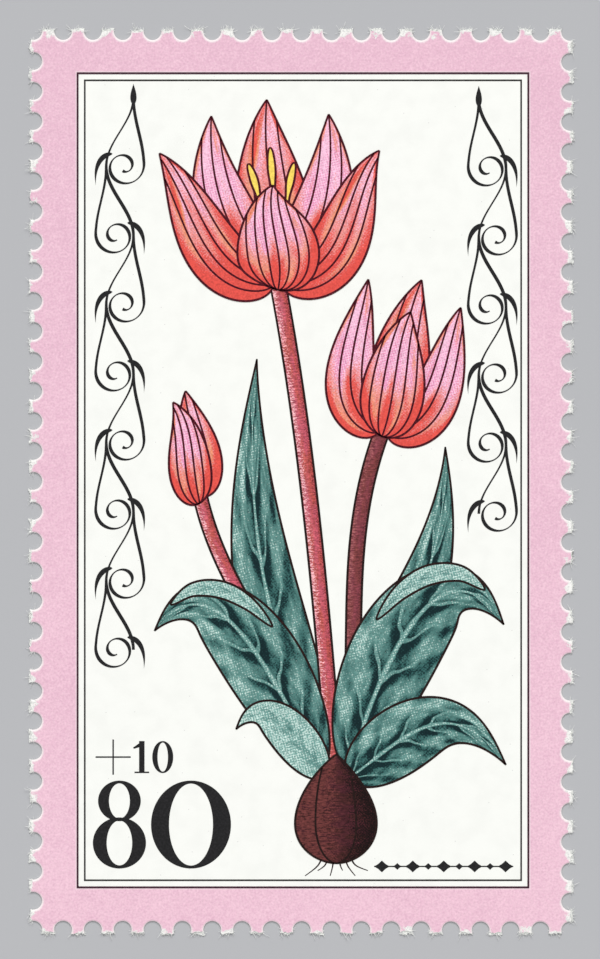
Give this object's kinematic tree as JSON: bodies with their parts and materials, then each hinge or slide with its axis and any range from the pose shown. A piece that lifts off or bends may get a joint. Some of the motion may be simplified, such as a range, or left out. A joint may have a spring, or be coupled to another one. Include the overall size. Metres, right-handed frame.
{
  "type": "postage stamp",
  "caption": "Perforated paper postage stamp with a printed pink border, a double frame line, a tulip picture and plain numerals, gummed on its back.",
  "frame": {"origin": "middle of the flat gummed back, on the surface that the stamp lies on", "axes": "+Z out of the printed face, +Y towards the top of the picture, +X to the picture's right"},
  "size_m": [0.026, 0.0432, 0.0001],
  "materials": {
    "paper": "white coated paper, satin, with torn white fibres at the perforations",
    "gum": "dried gum, clear and slightly glossy over the paper's back",
    "border_ink": "flat printed pink with a fine mottle, satin",
    "black_ink": "solid printed black, satin",
    "petal_pink_ink": "printed pink with a coral halftone towards root and edges, satin",
    "petal_coral_ink": "printed coral with a pink halftone, satin",
    "stamen_ink": "printed yellow, satin",
    "leaf_ink": "printed teal with dark halftone shading and pale veins, satin",
    "leaf_back_ink": "printed pale teal with a light halftone, satin",
    "stem_red_ink": "printed red brown with a pale halftone down one side, satin",
    "stem_dark_ink": "printed dark red brown with a pale halftone down one side, satin",
    "bulb_ink": "printed maroon with a lighter halftone, satin"
  },
  "bodies": {
    "root": {"gum_film": "gum", "paper_sheet": "paper", "border_ink": "border_ink", "frame_line_outer": "black_ink", "frame_line_inner": "black_ink", "leaf_tall_left": "leaf_ink", "leaf_tall_right": "leaf_ink", "stem_right": "stem_dark_ink", "stem_left": "stem_red_ink", "stem_middle": "stem_red_ink", "leaf_left": "leaf_ink", "leaf_left_fold": "leaf_back_ink", "leaf_right": "leaf_ink", "leaf_right_fold": "leaf_back_ink", "leaf_low_right": "leaf_ink", "leaf_low_left": "leaf_back_ink", "bulb": "bulb_ink", "bloom_open_petal_back_middle": "petal_coral_ink", "bloom_open_petal_back_left": "petal_pink_ink", "bloom_open_petal_back_right": "petal_pink_ink", "bloom_open_stamen_left": "stamen_ink", "bloom_open_stamen_right": "stamen_ink", "bloom_open_stamen_middle": "stamen_ink", "bloom_open_petal_left": "petal_coral_ink", "bloom_open_petal_right": "petal_coral_ink", "bloom_open_petal_front": "petal_pink_ink", "bloom_side_petal_back": "petal_coral_ink", "bloom_side_petal_left": "petal_pink_ink", "bloom_side_petal_right": "petal_pink_ink", "bloom_side_petal_front": "petal_pink_ink", "bud_petal_back": "petal_coral_ink", "bud_petal_front": "petal_pink_ink", "picture_key_line": "black_ink", "scroll_left": "black_ink", "scroll_right": "black_ink", "ornament_rule": "black_ink", "value_eight": "black_ink", "value_nought": "black_ink", "addition_plus": "black_ink", "addition_one": "black_ink", "addition_nought": "black_ink"}
  },
  "joints": []
}
